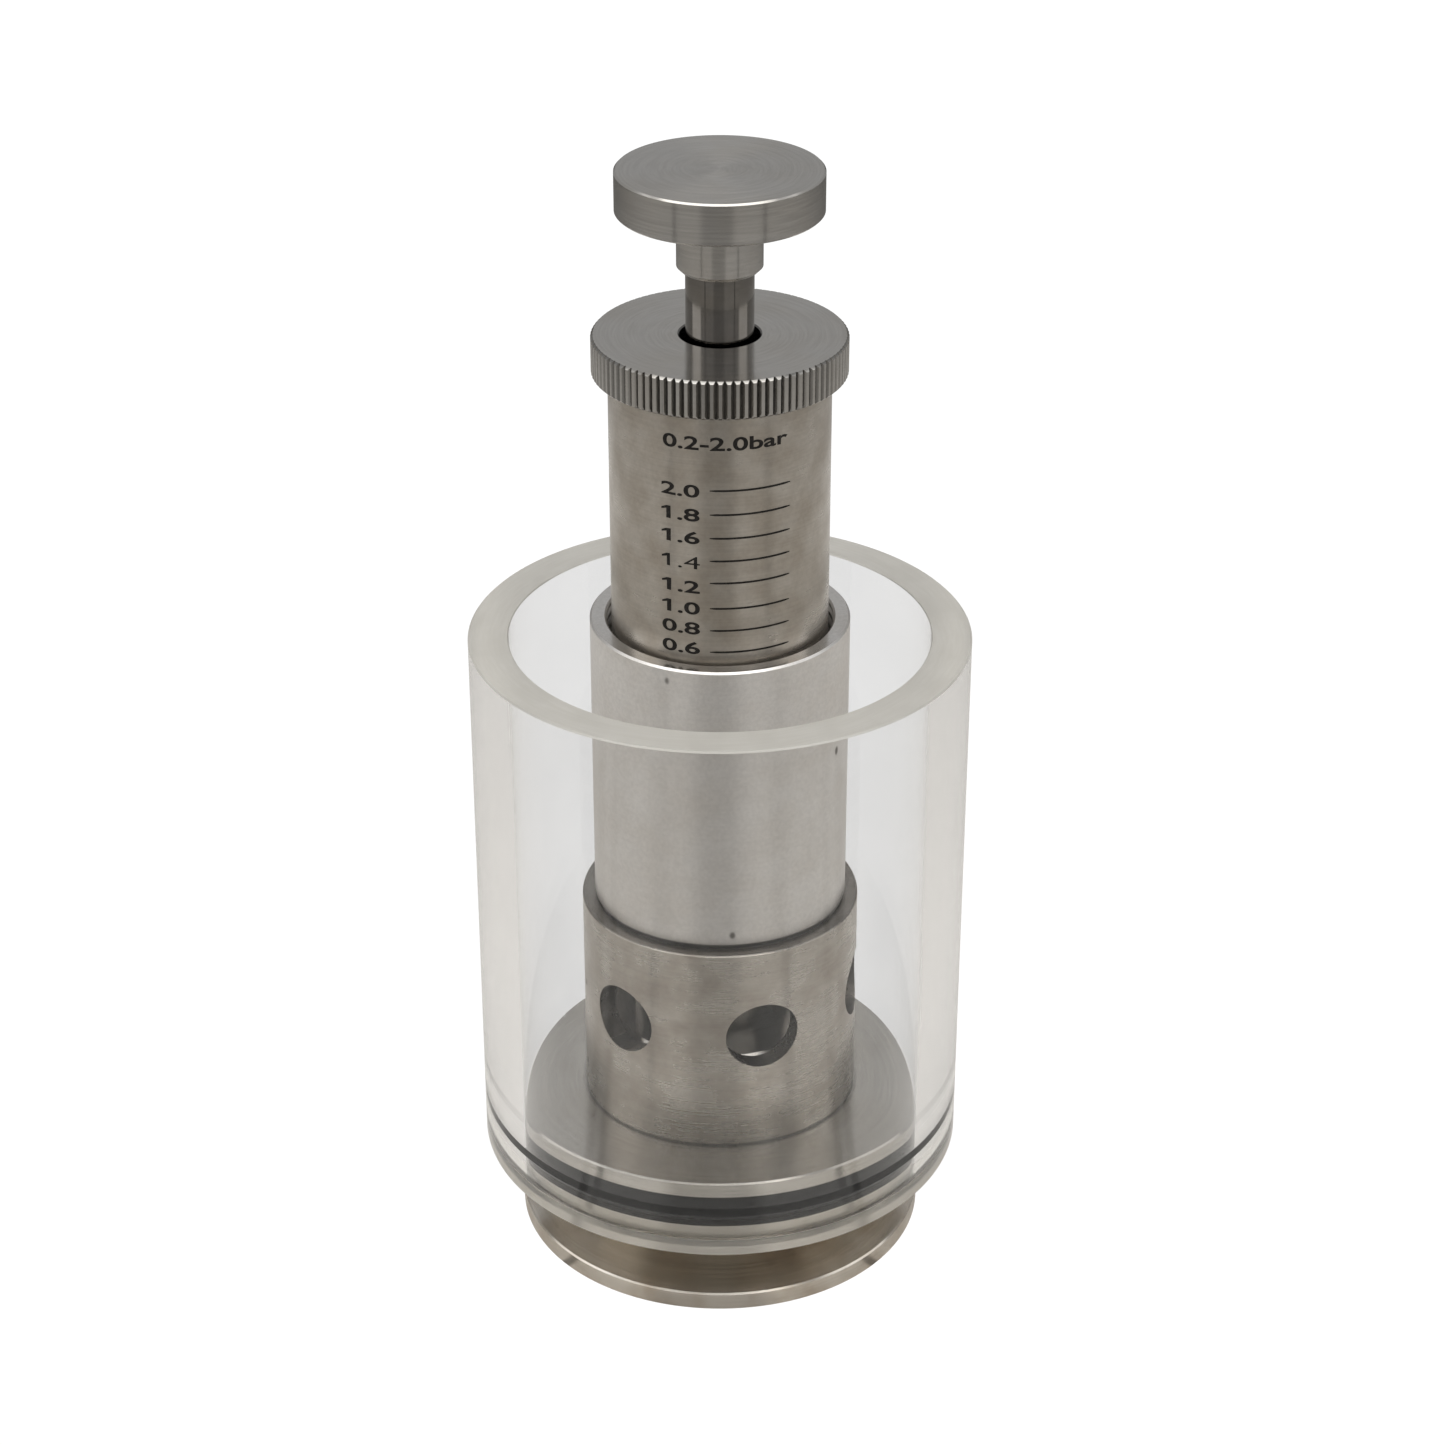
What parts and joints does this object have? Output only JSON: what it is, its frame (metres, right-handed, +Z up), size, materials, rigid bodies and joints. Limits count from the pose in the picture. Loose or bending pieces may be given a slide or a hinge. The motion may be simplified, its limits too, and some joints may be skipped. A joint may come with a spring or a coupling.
{
  "type": "pressure relief valve",
  "caption": "Adjustable spring-loaded relief valve on a clamp ferrule, with a clear water cup, a screw-down scale sleeve and a lifting knob.",
  "frame": {"origin": "centre of the clamp ferrule's gasket face, the lowest face", "axes": "+Z up along the valve's axis towards the knob, one vent hole facing -Y"},
  "size_m": [0.0754, 0.0754, 0.1742],
  "materials": {
    "turned_steel": "turned stainless steel with fine concentric tool marks",
    "brushed_steel": "drawn stainless tube, satin, mottled",
    "ground_steel": "centreless ground stainless rod",
    "bright_steel": "bright stainless fastener",
    "spring_steel": "drawn stainless spring wire",
    "acrylic": "clear acrylic tube with sawn matt ends",
    "seal_rubber": "smooth black rubber",
    "silicone": "translucent white silicone",
    "ptfe": "white slippery plastic"
  },
  "bodies": {
    "valve_body": {"ferrule": "turned_steel", "base_flange": "turned_steel", "cup_seal": "seal_rubber", "vent_cage": "brushed_steel", "bonnet_gasket": "ptfe", "bonnet": "brushed_steel", "guide_bush": "ptfe", "spring": "spring_steel"},
    "cup": {"cup": "acrylic"},
    "plunger": {"plug": "turned_steel", "seat_disc": "silicone", "seat_retainer": "turned_steel", "retainer_screw": "bright_steel", "stem_nut": "bright_steel", "spring_washer": "bright_steel", "stem": "ground_steel", "knob": "turned_steel"},
    "spring_follower": {"spring_seat": "turned_steel", "thrust_washer": "ptfe"},
    "adjuster": {"scale_sleeve": "brushed_steel", "adjuster_cap": "turned_steel", "stem_bush": "ptfe"}
  },
  "joints": [
    {"name": "cup_lift", "type": "slide", "parent": "valve_body", "child": "cup", "axis": [0, 0, 1], "range_m": [0, 0.16]},
    {"name": "plunger_lift", "type": "slide", "parent": "valve_body", "child": "plunger", "axis": [0, 0, 1], "range_m": [0, 0.006], "stiffness_N_per_m": 2700, "springref_m": -0.0093, "deforming": ["spring"]},
    {"name": "adjuster_travel", "type": "slide", "parent": "valve_body", "child": "spring_follower", "axis": [0, 0, 1], "range_m": [-0.0274, 0.0058], "deforming": ["spring"]},
    {"name": "adjuster_turn", "type": "hinge", "parent": "spring_follower", "child": "adjuster", "pos_m": [0, 0, 0.125], "axis": [0, 0, 1], "range_deg": [-4896, 1008]}
  ],
  "couplings": [
    {"joint": "adjuster_travel", "follows": "adjuster_turn", "m_per_rad": 0.00031831}
  ]
}
